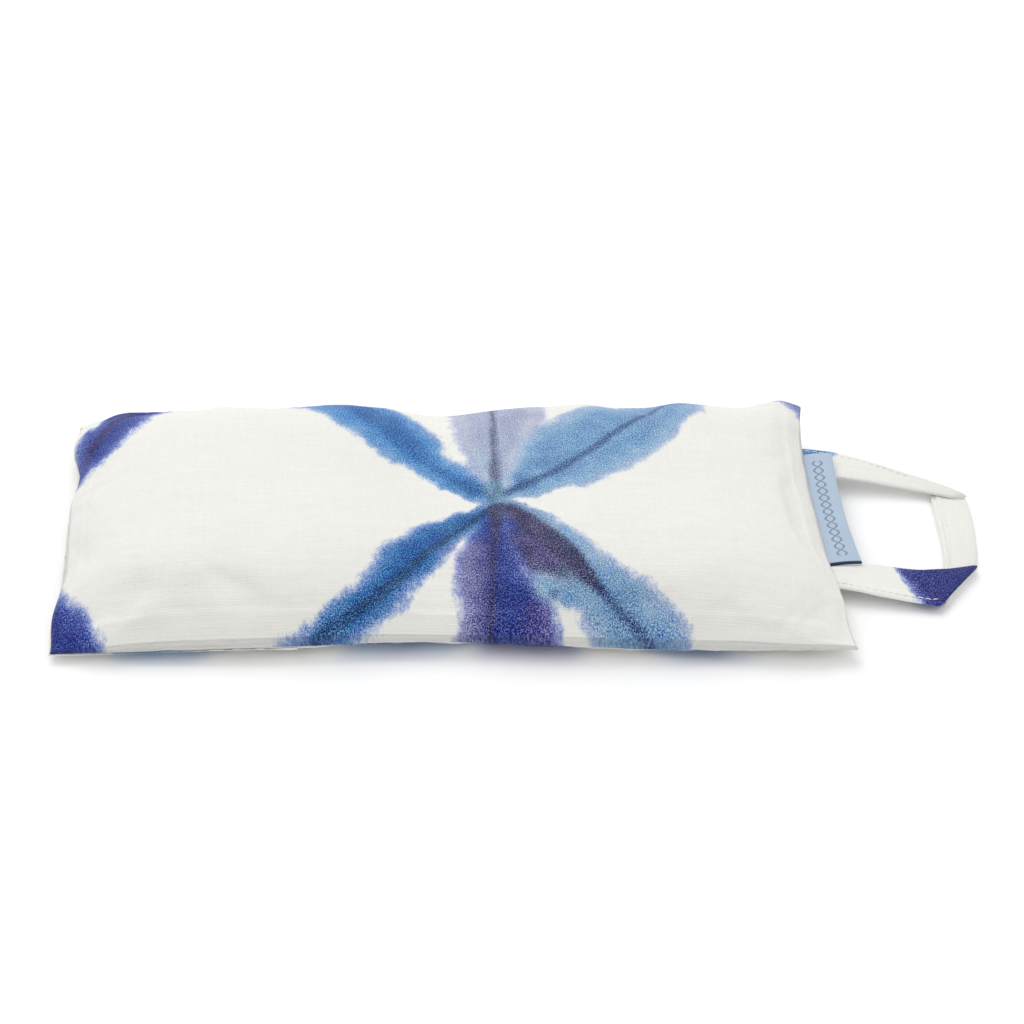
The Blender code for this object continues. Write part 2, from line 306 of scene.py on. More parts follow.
def rim(ids, below):
    """The faces round a grid of points, down to the points that are numbered that much further on."""
    ring = np.concatenate([ids[0, :-1], ids[:-1, -1], ids[-1, :0:-1], ids[:0:-1, 0]])
    after = np.roll(ring, -1)
    return np.stack([ring, ring + below, after + below, after], -1)


# ---------------------------------------------------------------- cloth simulation


def settle(obj, pinned, cap, pressure, slack):
    """Lets the bag's cloth swell against its fill. It has a little more cloth than its shape needs, by slack,
    so that it puckers, and no point moves further than cap."""
    group = obj.vertex_groups.new(name="held")
    for index in np.nonzero(pinned > 0.01)[0]:
        group.add([int(index)], float(pinned[index]), "REPLACE")
    cloth = obj.modifiers.new("settle", "CLOTH")
    own = cloth.settings
    own.quality = 7
    own.mass = 0.12
    own.tension_stiffness = own.compression_stiffness = 18
    own.shear_stiffness = 6
    own.bending_stiffness = 0.25
    own.use_pressure = True
    own.uniform_pressure_force = pressure
    own.shrink_min = -slack
    own.vertex_group_mass = "held"
    own.effector_weights.gravity = 0.0
    cloth.collision_settings.use_collision = False
    scene = bpy.context.scene
    for step in range(1, 25):
        scene.frame_set(step)
    settled = positions(evaluated_mesh(obj))
    obj.modifiers.clear()
    scene.frame_set(1)
    moved = settled - positions(obj.data)
    far = np.linalg.norm(moved, axis=1, keepdims=True) + 1e-12
    place(obj.data, positions(obj.data) + moved / far * cap * np.tanh(far / cap))
    obj.vertex_groups.clear()


def lumps(u, v):
    """How the seed under the cloth makes it uneven."""
    broad = 0.30 * MM * noise(u, v, 0.026, 3)
    return broad + 0.14 * MM * noise(u, v, 0.011, 5) + 0.05 * MM * noise(u, v, 0.005, 7)


def puckers(off, along, across, size, seed, reach):
    """Waves that start just inside a seam, which is off metres away, and fade over reach metres."""
    return noise(along, across, size, seed) * smooth((off - 0.004) / 0.006) * np.exp(-off / reach)


def creases(u, v):
    """Soft dents and puckers that run in from the seams, deeper near the corners."""
    off_front, off_back = v + W, W - v
    off_left, off_right = u + L, L - u
    near_corner = np.maximum(hump(u, -L, 0.045), 0.8 * hump(u, L, 0.045))
    front = puckers(off_front, u + 0.35 * off_front, v * 0.25, 0.012, 11, 0.013)
    back = puckers(off_back, u - 0.35 * off_back, v * 0.25, 0.014, 13, 0.014)
    right = puckers(off_right, u * 0.25, v + 0.3 * off_right, 0.011, 17, 0.014)
    left = puckers(off_left, u * 0.25, v - 0.3 * off_left, 0.013, 19, 0.013)
    dents = with_bumps(0.0, u, v, DENTS)
    return MM * (dents + (0.55 + 0.9 * near_corner) * (front + 0.35 * back + 0.6 * right + left))


def allowance_ridge(u, v):
    """The seam allowance shows through the cloth as a low step with a ridge where it ends."""
    off = np.minimum(np.minimum(v + W, W - v), np.minimum(u + L, L - u))
    wander = 0.4 * MM * noise(u, v, 0.018, 23)
    ridge = 0.62 * hump(off, 5.4 * MM + wander, 0.70 * MM)
    step = 0.46 * smooth((5.6 * MM + wander - off) / (1.5 * MM)) * smooth(off / (1.2 * MM))
    return MM * (ridge + step) * (0.75 + 0.25 * noise(u, v, 0.022, 29))


# ---------------------------------------------------------------- the dyed star


def arm(points, colour, depth=1.0):
    """A bleed of dye: a line of (x, y, half width) in millimetres on the cut cloth, its colour and depth."""
    return {"line": np.array(points, float), "colour": linear(*colour), "depth": depth}


BLUE, AZURE, SKY, STEEL = (14, 82, 170), (46, 124, 208), (114, 160, 210), (118, 168, 218)
LILAC, INDIGO = (170, 182, 218), (18, 38, 146)
PLUM = (44, 36, 90)

STAR = [
    arm([(14, -7, 3.6), (9, 0, 4.6), (2.8, 7, 6.8), (-4, 13.5, 6.6), (-9.5, 22, 10.8), (-16.5, 32, 12.2),
         (-26, 42, 12.6), (-40, 54, 12.5)], AZURE),
    arm([(15.5, -4, 3.4), (16, 2, 4.8), (16.5, 12, 8.8), (17.5, 26, 13.2), (18.5, 45, 15), (18.5, 60, 15)],
         LILAC, depth=0.9),
    arm([(15, -5, 3.4), (20, -3.6, 4.0), (26, 1.8, 9.4), (37, 13.5, 16.6), (49, 21.5, 16.2), (61, 33, 16),
         (70, 43, 12.5), (80, 55, 7)], STEEL),
    arm([(14, -10.5, 3.4), (10, -14.2, 4.0), (2.3, -17.5, 5.6), (-3.5, -22, 7.0), (-9, -28.5, 7.7),
         (-14, -34.5, 8), (-18.5, -41, 7), (-24, -47.2, 6.6), (-31, -51.5, 5.0), (-40, -54.5, 3.2),
         (-52, -57.5, 1.8)], BLUE),
    arm([(18.5, -15, 3.8), (21.5, -21, 6.8), (23.5, -29, 8.6), (26, -33.5, 8.2), (35, -40, 5.4)], PLUM),
    arm([(14.5, -10, 3), (13, -18, 5), (12.5, -25, 8), (12, -33, 10), (11.8, -42, 10.6), (14, -48, 12.4),
         (16, -52, 14.4), (16.5, -60, 16.5)], INDIGO),
    arm([(17, -11, 3.6), (22, -16, 5.0), (27, -22.5, 6.8), (32, -29.5, 8.2), (37, -36.5, 8.8),
         (41.5, -42, 8.8), (45, -46.5, 9.8), (49.5, -50.5, 10.8), (57, -58, 11)], SKY),
    arm([(27, -43.3, 4.4), (31, -44.6, 4.4), (37, -46, 4.4)], SKY),
    arm([(-118, 16, 3), (-112, 25, 6.8), (-106, 32, 8.6), (-98.7, 44.2, 10), (-90, 60, 11.5)], INDIGO),
    arm([(-126, -38, 13), (-112, -60, 14)], INDIGO),
    arm([(105, 61, 6.0), (118, 50, 3.8)], (92, 106, 182), depth=0.9),
]
# The folds' dark lines: points and half widths in millimetres, their colour, and how strong they are.
LINES = [
    ([(15, -3, 1.0), (15.4, 7, 0.8), (15.9, 22, 0.3), (17, 48, 0.1), (17.5, 60, 0.1)], (48, 56, 116), 0.85),
    ([(17, -6, 0.9), (22, -2.6, 0.9), (32, 3.3, 0.6), (40, 10, 0.6), (48, 17.5, 0.6), (65, 37, 0.4),
     (75, 50, 0.2)], (30, 70, 140), 0.75),
    ([(12, -12, 0.7), (4, -19, 0.5), (-6, -28, 0.6), (-15, -39.5, 1.1), (-23.5, -47.5, 1.1),
     (-33, -52.5, 0.8), (-44, -56, 0.4)], (6, 44, 106), 0.85),
    ([(14.8, -10, 1.6), (14.2, -17, 1.2), (12.9, -30, 0.6), (12, -41, 0.3), (10.2, -55, 0.2),
     (10, -60, 0.1)], (44, 44, 100), 0.85),
    ([(19, -12.6, 1.7), (23, -18, 2.5), (28, -25.5, 3.4), (34, -33, 3.2), (38.5, -40, 2.0), (43, -45, 0.6)],
     PLUM, 0.94),
    ([(42, -44, 0.8), (48, -50, 0.5), (56, -55, 0.4), (60, -60, 0.1)], (30, 62, 132), 0.75),
    ([(15, -12, 2.2), (15, -14.5, 1.4)], (48, 56, 100), 0.75),
    ([(15, -6, 2.6), (14.5, 0, 2.4)], (84, 132, 172), 0.85),
    ([(10, -3, 0.8), (3, 5, 1.4), (-4, 14, 1.8), (-11, 24, 4.4), (-18, 34, 4.4), (-26, 44, 2.6)],
     (24, 94, 172), 0.6),
    ([(-111, 27, 0.7), (-106.5, 34, 0.8), (-101, 42, 0.7), (-96, 50, 0.4)], (30, 26, 96), 0.8),
    ([(28.6, -45.6, 0.6), (29.2, -45.6, 0.6)], (52, 84, 150), 0.8),
]
# Where the dye's edge is sharper: (x, y, reach) in millimetres, and by how much.
SHARP = [((15, -8, 14), 1.6), ((28, -46, 8), 0.7)]
# Where a bleed changes colour: (x, y, reach) in millimetres, its colour and its strength.
TINTS = [
    ((6, -30, 7), (98, 96, 164), 0.8),
    ((5, -40, 7), (106, 106, 170), 0.8),
    ((4, -50, 8), (104, 104, 172), 0.85),
    ((17.5, -20.5, 5.5), (36, 56, 156), 0.95),
    ((17, -32, 6), (28, 48, 146), 0.95),
    ((16.5, -43, 6), (26, 46, 142), 0.95),
    ((16.5, -54, 6.5), (34, 54, 152), 0.8),
    ((24, -27, 5), (82, 74, 142), 0.85),
    ((27, -34, 5), (92, 84, 150), 0.8),
    ((26, -51, 7), (84, 76, 156), 0.8),
    ((27, -44.5, 5), (112, 168, 216), 0.95),
    ((33, -48, 6), (100, 152, 210), 0.8),
    ((60, -50, 9), (104, 152, 212), 0.6),
    ((36, -23, 6), (100, 156, 210), 0.7),
    ((6, 34, 10), (160, 170, 214), 0.7),
    ((25, 36, 8), (160, 164, 206), 0.7),
    ((14, 12, 8), (146, 176, 212), 0.7),
    ((23, -1, 6), (62, 120, 184), 0.8),
    ((34, 8, 9), (92, 144, 200), 0.6),
    ((66, 30, 9), (112, 158, 208), 0.6),
    ((7, 1, 6), (40, 112, 180), 0.7),
    ((-34, 46, 9), (70, 130, 196), 0.5),
    ((3, -20, 6), (40, 110, 178), 0.6),
]


def off_line(x, y, line):
    """The distance from a tapering line, less its half width: negative inside it."""
    best = np.full(x.shape, 1e9)
    for (ax, ay, ar), (bx, by, br) in zip(line[:-1], line[1:]):
        dx, dy = bx - ax, by - ay
        t = np.clip(((x - ax) * dx + (y - ay) * dy) / (dx * dx + dy * dy), 0, 1)
        best = np.minimum(best, np.hypot(x - ax - t * dx, y - ay - t * dy) - (ar + t * (br - ar)))
    return best


def ragged(x, y):
    """How far the dye ran, in millimetres: lobes, with short runs along the crosswise threads."""
    run = 1.0 * noise(x, y, 7.0, 31) + 0.8 * noise(x, y, 3.1, 37) + 0.45 * noise(x, y, 1.4, 41)
    return run + 0.35 * noise(x, y * 0.4, 1.1, 43)


def tinted(colour, tone, share):
    return colour * (1 - share[..., None]) + linear(*tone) * share[..., None]


def dye(u, v, arms, lines, tints):
    """The distance from the dyed cloth in millimetres, negative inside it, and the dye's colour and depth,
    for places on the cut cloth."""
    x, y = u * 1000, v * 1000
    run = ragged(x, y)
    crisp = np.ones(x.shape)
    for (cx, cy, reach), gain in SHARP:
        crisp += gain * hump(np.hypot(x - cx, y - cy), 0, reach)
    off = np.full(x.shape, 1e9)
    colour = np.zeros((*x.shape, 3))
    depth = np.zeros(x.shape)
    share = np.zeros(x.shape)
    for one in arms:
        d = off_line(x, y, one["line"]) + run
        off = np.minimum(off, d)
        weight = np.exp(-np.clip(d + 4, -3, 30) / 1.6)
        colour += weight[..., None] * one["colour"]
        depth += weight * one["depth"]
        share += weight
    colour /= share[..., None]
    depth /= share
    for (cx, cy, reach), tone, strength in tints:
        r = np.hypot(x - cx, y - cy) + 1.5 * run
        colour = tinted(colour, tone, strength * smooth(1.25 - r / reach))
    off = off * crisp
    for line, tone, strength in lines:
        d = off_line(x, y, np.array(line, float)) + 0.20 * noise(x, y, 2.3, 47)
        colour = tinted(colour, tone, strength * smooth(1 - d / 1.3) * smooth((2.0 - off) / 3.0))
    return off, colour, depth


def dye_onto(obj, where, arms=STAR, lines=LINES, tints=TINTS):
    """Keeps the dye on obj's points, from their places on the cut cloth."""
    off, colour, depth = dye(where[:, 0], where[:, 1], arms, lines, tints)
    put_float(obj.data, "dye_off", off)
    put_float(obj.data, "dye_depth", depth)
    put_colour(obj.data, "dye_colour", colour)


# ---------------------------------------------------------------- materials


class Nodes:
    """A short way to write a node material."""

    def __init__(self, name):
        self.material = bpy.data.materials.new(name)
        self.material.use_nodes = True
        self.tree = self.material.node_tree
        self.shader = self.tree.nodes["Principled BSDF"]

    def add(self, kind, inputs=(), **settings):
        node = self.tree.nodes.new(kind)
        for key, value in settings.items():
            setattr(node, key, value)
        for key, value in dict(inputs).items():
            self.set(node.inputs[key], value)
        return node

    def set(self, socket, value):
        if isinstance(value, bpy.types.NodeSocket):
            self.tree.links.new(value, socket)
        else:
            socket.default_value = value

    def math(self, operation, a, b=0.0, c=0.0, clamp=False):
        node = self.add("ShaderNodeMath", operation=operation, use_clamp=clamp)
        for socket, value in zip(node.inputs, (a, b, c)):
            self.set(socket, value)
        return node.outputs[0]

    def ramp(self, value, low, high, to_low=0.0, to_high=1.0):
        """A smooth step between two values."""
        node = self.add("ShaderNodeMapRange", interpolation_type="SMOOTHSTEP")
        for socket, item in zip(node.inputs, (value, low, high, to_low, to_high)):
            self.set(socket, item)
        return node.outputs[0]

    def attribute(self, name, output):
        return self.add("ShaderNodeAttribute", attribute_name=name).outputs[output]

    def grey(self, tone):
        return self.add("ShaderNodeCombineColor", {0: tone, 1: tone, 2: tone}).outputs[0]

    def mix(self, factor, a, b, blend="MIX"):
        node = self.add("ShaderNodeMix", data_type="RGBA", blend_type=blend)
        self.set(node.inputs["Factor"], factor)
        self.set(node.inputs[6], a)
        self.set(node.inputs[7], b)
        return node.outputs[2]

    def noise(self, where, scale, detail=2.0, roughness=0.5):
        inputs = {"Vector": where, "Scale": scale, "Detail": detail, "Roughness": roughness}
        return self.add("ShaderNodeTexNoise", inputs).outputs["Fac"]

    def stretched(self, where, x, y, z=1.0):
        return self.add("ShaderNodeVectorMath", {0: where, 1: (x, y, z)}, operation="MULTIPLY").outputs[0]

    def shade(self, **values):
        for key, value in values.items():
            self.set(self.shader.inputs[key.replace("_", " ")], value)


def weave(nodes, where, warp, weft):
    """The height of a plain weave, its threads warp and weft metres apart, and the threads' unevenness."""
    parts = nodes.add("ShaderNodeSeparateXYZ", {0: where})
    wobble = nodes.noise(where, 260.0, 2.0)
    ribs = []
    for axis, pitch in ((0, warp), (1, weft)):
        shift = nodes.math("MULTIPLY", wobble, 4.5)
        turn = nodes.math("MULTIPLY_ADD", parts.outputs[axis], 2 * math.pi / pitch, shift)
        ribs.append(nodes.math("MULTIPLY_ADD", nodes.math("SINE", turn), 0.5, 0.5))
    over = nodes.math("MULTIPLY", ribs[0], ribs[1])
    across = nodes.noise(nodes.stretched(where, 60.0, 2600.0), 1.0, 1.0)
    along = nodes.noise(nodes.stretched(where, 2600.0, 60.0), 1.0, 1.0)
    slub = nodes.math("ADD", nodes.math("MULTIPLY", across, 0.65), nodes.math("MULTIPLY", along, 0.35))
    return nodes.math("MULTIPLY_ADD", slub, 1.5, over), slub


def dyed_cloth(n, where, cloth):
    """The cloth's colour seen through the dye, which filters it: thinner dye lets through more of it."""
    off = n.attribute("dye_off", "Fac")
    ink = n.attribute("dye_colour", "Color")
    depth = n.attribute("dye_depth", "Fac")
    # The threads break up the dye's edge, and take up more or less of it from thread to thread.
    across = n.noise(n.stretched(where, 3000.0, 1300.0), 1.0, 1.0, 0.6)
    along = n.noise(n.stretched(where, 1400.0, 3000.0), 1.0, 1.0, 0.6)
    grain = n.noise(where, 3300.0, 1.0, 0.6)
    run = n.noise(n.stretched(where, 900.0, 600.0), 1.0, 2.0)
    edge = n.math("MULTIPLY_ADD", n.math("SUBTRACT", run, 0.5), 3.0, off)
    edge = n.math("MULTIPLY_ADD", n.math("SUBTRACT", across, 0.5), 2.4, edge)
    # How much dye there is: it builds up inwards from the edge, in blotches and in a grain.
    amount = n.math("MULTIPLY", n.ramp(edge, 1.6, -3.0), 0.66)
    amount = n.math("MULTIPLY_ADD", n.ramp(edge, -1.5, -9.0), 0.42, amount)
    blotch = n.noise(where, 170.0, 4.0, 0.62)
    amount = n.math("MULTIPLY", amount, n.math("MULTIPLY_ADD", blotch, 0.9, 0.55))
    spots = n.math("ADD", n.math("MULTIPLY", across, 0.28), n.math("MULTIPLY", along, 0.20))
    spots = n.math("MULTIPLY_ADD", n.math("MULTIPLY_ADD", grain, 0.52, spots), 9.0, -3.5)
    amount = n.math("MULTIPLY", amount, n.math("MAXIMUM", spots, 0.38))
    amount = n.math("MULTIPLY", amount, depth)
    # Near the edge the dye is a little more violet.
    thin = n.mix(n.math("MULTIPLY", n.ramp(edge, -4.0, 0.5), 0.75), ink, (0.030, 0.060, 0.46, 1.0))
    inks = n.add("ShaderNodeSeparateColor", {0: thin})
    let_through = [n.math("POWER", inks.outputs[k], amount) for k in range(3)]
    share = n.add("ShaderNodeCombineColor", dict(enumerate(let_through))).outputs[0]
    return n.mix(1.0, cloth, share, "MULTIPLY")


def cotton_material(name, base, dyed=True):
    """Plain-woven cotton with flecks of seed coat and painted shade in the weave's hollows, dyed where its
    mesh says so.
    """
    n = Nodes(name)
    where = n.attribute("cloth", "Vector")
    height, slub = weave(n, where, warp=0.00052, weft=0.00060)
    broad = n.noise(where, 34.0, 3.0)
    tone = n.math("MULTIPLY_ADD", slub, 0.10, 0.95)
    tone = n.math("MULTIPLY", tone, n.math("MULTIPLY_ADD", broad, 0.05, 0.975))
    # Painted shade: the colour is a little darker where the weave's height is low, in the hollows between
    # threads.
    weave_shade = n.math("MULTIPLY_ADD", height, 0.024, 0.967)
    tone = n.math("MULTIPLY", tone, weave_shade)
    colour = n.mix(1.0, (*base, 1.0), n.grey(tone), "MULTIPLY")
    fleck = n.ramp(n.noise(n.stretched(where, 1.0, 2.4), 520.0, 1.0), 0.80, 0.86)
    colour = n.mix(n.math("MULTIPLY", fleck, 0.45), colour, (0.42, 0.33, 0.20, 1.0))
    if dyed:
        colour = dyed_cloth(n, where, colour)
    bump = n.add("ShaderNodeBump", {"Strength": 0.66, "Distance": 0.00015, "Height": height})
    uneven = n.noise(where, 210.0, 4.0)
    inputs = {"Strength": 0.50, "Distance": 0.0007, "Height": uneven, "Normal": bump.outputs[0]}
    soft = n.add("ShaderNodeBump", inputs)
    n.shade(Base_Color=colour, Roughness=0.86, Normal=soft.outputs[0])
    n.shade(Sheen_Weight=0.18, Sheen_Roughness=0.45, Specular_IOR_Level=0.25)
    return n.material


# The label's two waves: their pitch, their height and how far their middle is from the fold.
WAVE_PITCH, WAVE_HEIGHT, WAVE_MIDDLE = 0.0064, 0.00135, 0.0048


def label_material():
    """Blue-grey satin damask with a woven edge and a generic wave motif."""
    n = Nodes("label damask")
    where = n.attribute("cloth", "Vector")
    parts = n.add("ShaderNodeSeparateXYZ", {0: where})
    x, y = parts.outputs[0], parts.outputs[1]
    slant = n.math("ADD", x, n.math("MULTIPLY", y, 0.35))
    fine = n.math("SINE", n.math("MULTIPLY", slant, 2 * math.pi / 0.00038))
    cross = n.math("SINE", n.math("MULTIPLY", y, 2 * math.pi / 0.00045))
    height = n.math("MULTIPLY_ADD", n.math("MULTIPLY", fine, cross), 0.5, 0.5)
    broad = n.math("MULTIPLY", n.math("SUBTRACT", n.noise(where, 120.0, 3.0), 0.5), 0.12)
    tone = n.math("ADD", n.math("MULTIPLY_ADD", height, 0.10, 0.90), broad)
    ground = n.mix(1.0, (*linear(174, 191, 211), 1.0), n.grey(tone), "MULTIPLY")
    line = 0.0
    for phase in (0.0, math.pi):
        turn = n.math("MULTIPLY_ADD", y, 2 * math.pi / WAVE_PITCH, phase)
        swing = n.math("MULTIPLY", n.math("SINE", turn), WAVE_HEIGHT)
        off = n.math("SUBTRACT", n.math("ABSOLUTE", x), n.math("ADD", swing, WAVE_MIDDLE))
        line = n.math("MAXIMUM", n.ramp(n.math("ABSOLUTE", off), 0.00046, 0.00026), line)
    line = n.math("MULTIPLY", line, n.ramp(n.math("ABSOLUTE", y), 0.0222, 0.0216))
    colour = n.mix(n.math("MULTIPLY", line, 0.80), ground, (*linear(104, 122, 142), 1.0))
    colour = n.mix(n.ramp(y, -0.02425, -0.02475), colour, (*linear(38, 52, 96), 1.0))
    bump = n.add("ShaderNodeBump", {"Strength": 0.35, "Distance": 0.00008, "Height": height})
    n.shade(Base_Color=colour, Roughness=0.58, Normal=bump.outputs[0])
    n.shade(Sheen_Weight=0.12, Sheen_Roughness=0.35, Specular_IOR_Level=0.4)
    return n.material


def thread_material(name, colour):
    """Twisted sewing thread."""
    n = Nodes(name)
    where = n.add("ShaderNodeTexCoord").outputs["Object"]
    ply = n.noise(n.stretched(where, 5200.0, 3100.0, 4100.0), 1.0, 2.0)
    shade = n.mix(ply, (*[c * 0.86 for c in colour], 1.0), (*colour, 1.0))
    bump = n.add("ShaderNodeBump", {"Strength": 0.25, "Distance": 0.00002, "Height": ply})
    n.shade(Base_Color=shade, Roughness=0.62, Normal=bump.outputs[0])
    n.shade(Sheen_Weight=0.15, Sheen_Roughness=0.4)
    return n.material


def seed_material():
    """Loose flax seed: glossy brown grains, with painted shade darkening the gaps between them."""
    n = Nodes("flax seed")
    where = n.add("ShaderNodeTexCoord").outputs["Object"]
    grains = n.add("ShaderNodeTexVoronoi", {"Vector": n.stretched(where, 1.0, 1.7, 1.0), "Scale": 380.0})
    bright = n.add("ShaderNodeSeparateColor", {0: grains.outputs["Color"]}).outputs[0]
    colour = n.mix(bright, (0.16, 0.07, 0.03, 1.0), (0.36, 0.19, 0.08, 1.0))
    # Painted shade: the gaps between the grains are coloured near black, and the same mask raises the grains
    # in the bump.
    grain_unshaded = n.ramp(grains.outputs["Distance"], 0.75, 0.35)
    colour = n.mix(grain_unshaded, (0.03, 0.015, 0.008, 1.0), colour)
    bump = n.add("ShaderNodeBump", {"Strength": 0.9, "Distance": 0.0008, "Height": grain_unshaded})
    n.shade(Base_Color=colour, Roughness=0.35, Normal=bump.outputs[0])
    return n.material


# ---------------------------------------------------------------- pieces


def bend_at_waist(obj):
    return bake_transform(obj)


def bend_at_seam(obj):
    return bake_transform(obj)


def finish_piece(obj, material, slot, *nodes):
    obj.data.materials.clear()
    obj.data.materials.append(material)
    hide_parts(*nodes)
    return obj


def make_bag():
    """The cover as one closed piece of cloth, swollen by its fill. Returns it with the grid it was made from:
    the settled points, the numbers of the back's points, and the places along and across."""
    us, vs = spread(GRID[0], L), spread(GRID[1], W)
    points, faces, places, ids_back = shell(us, vs)
    bag = mesh_object("cover", points, faces, places)
    seam = np.abs(places[:, 2]) < 0.5
    resting = (places[:, 2] < -0.5) & (points[:, 2] < 0.0012)
    pinned = np.where(seam, 1.0, np.where(resting, 0.9, 0.0))
    settle(bag, pinned, cap=0.0016, pressure=2.4, slack=0.012)
    settled = positions(bag.data)
    subdivided(bag)
    where = cut_places(bag.data)
    normal = vectors(bag.data.vertices, "normal")
    u, v = where[:, 0], where[:, 1]
    above = smooth(where[:, 2])
    rise = (lumps(u, v) + creases(u, v)) * above + allowance_ridge(u, v) * smooth(where[:, 2] * 2)
    co = positions(bag.data) + normal * rise[:, None]
    co[:, 2] = np.maximum(co[:, 2], 0.8 * nest(u) * (where[:, 2] < -0.5))
    place(bag.data, co)
    return bag, settled, ids_back, us, vs


def dye_bag(bag):
    """Dyes the cover. Its back has the same star, turned over and shifted."""
    where = cut_places(bag.data)
    under = where[:, 2] < -0.02
    cut = where[:, :2].copy()
    cut[under, 0] = 0.036 - 0.95 * cut[under, 0]
    dye_onto(bag, cut)


def make_flap(settled, ids_back, us, vs, material):
    """The envelope flap under the left end: it starts in the seams, and its free edge is hemmed."""
    keep = int(np.searchsorted(us, FLAP_EDGE))
    fine = np.concatenate([us[:keep], [FLAP_EDGE]])
    u, v = np.meshgrid(fine, vs, indexing="ij")
    grid = settled[ids_back[: keep + 1]].copy()
    t = (FLAP_EDGE - us[keep - 1]) / (us[keep] - us[keep - 1])
    grid[keep] = grid[keep - 1] * (1 - t) + grid[keep] * t
    off = np.minimum(np.minimum(v + W, W - v), u + L)
    down = smooth(off / 0.004)
    normal = np.cross(np.gradient(grid, axis=0), np.gradient(grid, axis=1))
    normal /= np.linalg.norm(normal, axis=-1, keepdims=True) + 1e-12
    normal *= -np.sign(normal[..., 2:3] + 1e-12)
    hem = 0.00030 * smooth((u - FLAP_EDGE + 0.0066) / 0.0008)
    shift = 0.00012 + 0.00050 * down
    outer = grid + normal * shift[..., None]
    outer[..., 2] = np.maximum(outer[..., 2] - hem * down, 0.00002)
    inner = outer - normal * (CLOTH + hem)[..., None] * np.maximum(down, 0.25)[..., None]
    nu, nv = u.shape
    ids = np.arange(nu * nv).reshape(nu, nv)
    a, b, c, d = ids[:-1, :-1], ids[:-1, 1:], ids[1:, 1:], ids[1:, :-1]
    faces = [np.stack([a, b, c, d], -1).reshape(-1, 4), np.stack([d, c, b, a], -1).reshape(-1, 4) + nu * nv]
    faces.append(rim(ids, nu * nv))
    places = np.concatenate([np.stack([u, v, -np.ones_like(u)], -1).reshape(-1, 3)] * 2)
    points = np.concatenate([outer.reshape(-1, 3), inner.reshape(-1, 3)])
    flap = mesh_object("cover_flap", points, np.concatenate(faces), places)
    face_out(flap)
    where = places[:, :2].copy()
    where[:, 0] = -0.006 - 0.95 * where[:, 0]
    where[:, 1] = -where[:, 1]
    dye_onto(flap, where)
    finish_piece(flap, material, "dyed_cotton", "cover_back_flap")
    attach(flap, LEFT)


# The inner bags' length, width and thickness as shares of the cover's, and the height of their seams.
POUCH, SEED = (0.925, 0.85, 0.84), (0.88, 0.76, 0.76)
INNER_SEAM = 0.0062


def scaled_bag(name, settled, us, vs, along, across, thick):
    """A smaller bag inside the cover, of the same shape."""
    _, faces, places, _ = shell(us, vs)
    points = settled.copy()
    middle = seam_z(places[:, 0] / L, places[:, 1] / W)
    points[:, 0] *= along
    points[:, 1] *= across
    points[:, 2] = INNER_SEAM + (settled[:, 2] - middle) * thick
    places = places * (along, across, 1.0)
    return mesh_object(name, points, faces, places)


def walked(points, step):
    """Points about a step apart along a line."""
    points = np.asarray(points, float)
    far = np.concatenate([[0], np.cumsum(np.linalg.norm(np.diff(points, axis=0), axis=1))])
    count = max(2, int(far[-1] / step) + 1)
    at = np.linspace(0, far[-1], count)
    return np.stack([np.interp(at, far, points[:, k]) for k in range(3)], -1)


def stitches(name, paths, up, stitch=0.0025, share=0.72, radius=0.00016, sink=0.00010):
    """Stitches along lines, in one mesh: short threads that rise out of the cloth and go back in."""
    shares = (0.0, 0.10, 0.30, 0.5, 0.70, 0.90, 1.0)
    sides = 6
    verts, faces = [], []
    up = np.asarray(up, float)
    for path in paths:
        line = walked(path, stitch)
        for start, end in zip(line[:-1], line[1:]):
            along = end - start
            length = np.linalg.norm(along)
            along = along / length
            aside = np.cross(along, up)
            aside /= np.linalg.norm(aside) + 1e-12
            over = np.cross(aside, along)
            base = len(verts)
            for k, s in enumerate(shares):
                t = (1 - share) / 2 + share * s
                lift = math.sin(math.pi * s)
                r = radius * (0.45 + 0.55 * lift**0.5) if 0 < s < 1 else radius * 0.3
                middle = start + along * length * t + over * (radius * 0.9 * lift - sink * (1 - lift))
                for q in range(sides):
                    turn = 2 * math.pi * q / sides
                    verts.append(middle + r * (math.cos(turn) * aside + math.sin(turn) * over))
            for k in range(len(shares) - 1):
                for q in range(sides):
                    a, b = base + sides * k + q, base + sides * k + (q + 1) % sides
                    faces.append((a, b, b + sides, a + sides))
            last = base + sides * (len(shares) - 1)
            faces.append(tuple(base + q for q in reversed(range(sides))))
            faces.append(tuple(last + q for q in range(sides)))
    return mesh_object(name, verts, faces)


# ---------------------------------------------------------------- the hanging loop

STRAP = 0.00135  # the folded tape's thickness
STRAP_WIDTH, STRAP_LENGTH = 0.0125, 0.150
SEAM_X = L - 0.0015


def between(keys, t):
    """The points at t on a line of (t, point) pairs."""
    at = [k for k, _ in keys]
    return np.stack([np.interp(t, at, [point[k] for _, point in keys]) for k in range(3)], -1)


def in_loop(*points):
    """A line through places in the loop, each with its share of the way along. A place is its reach, from 0
    at the seam to 1 at the loop's far end, its side, from -1 at the front edge to 1 at the back edge, and its
    height in millimetres."""
    middle, half = (LOOP_LOW.y + LOOP_HIGH.y) / 2, (LOOP_HIGH.y - LOOP_LOW.y) / 2
    out = LOOP_HIGH.x - SEAM_X
    at = [(SEAM_X + out * reach, middle + half * side, rise / 1000) for reach, side, rise in points]
    far = np.concatenate([[0], np.cumsum([math.dist(p, q) for p, q in zip(at[:-1], at[1:])])])
    return list(zip(far / far[-1], at))


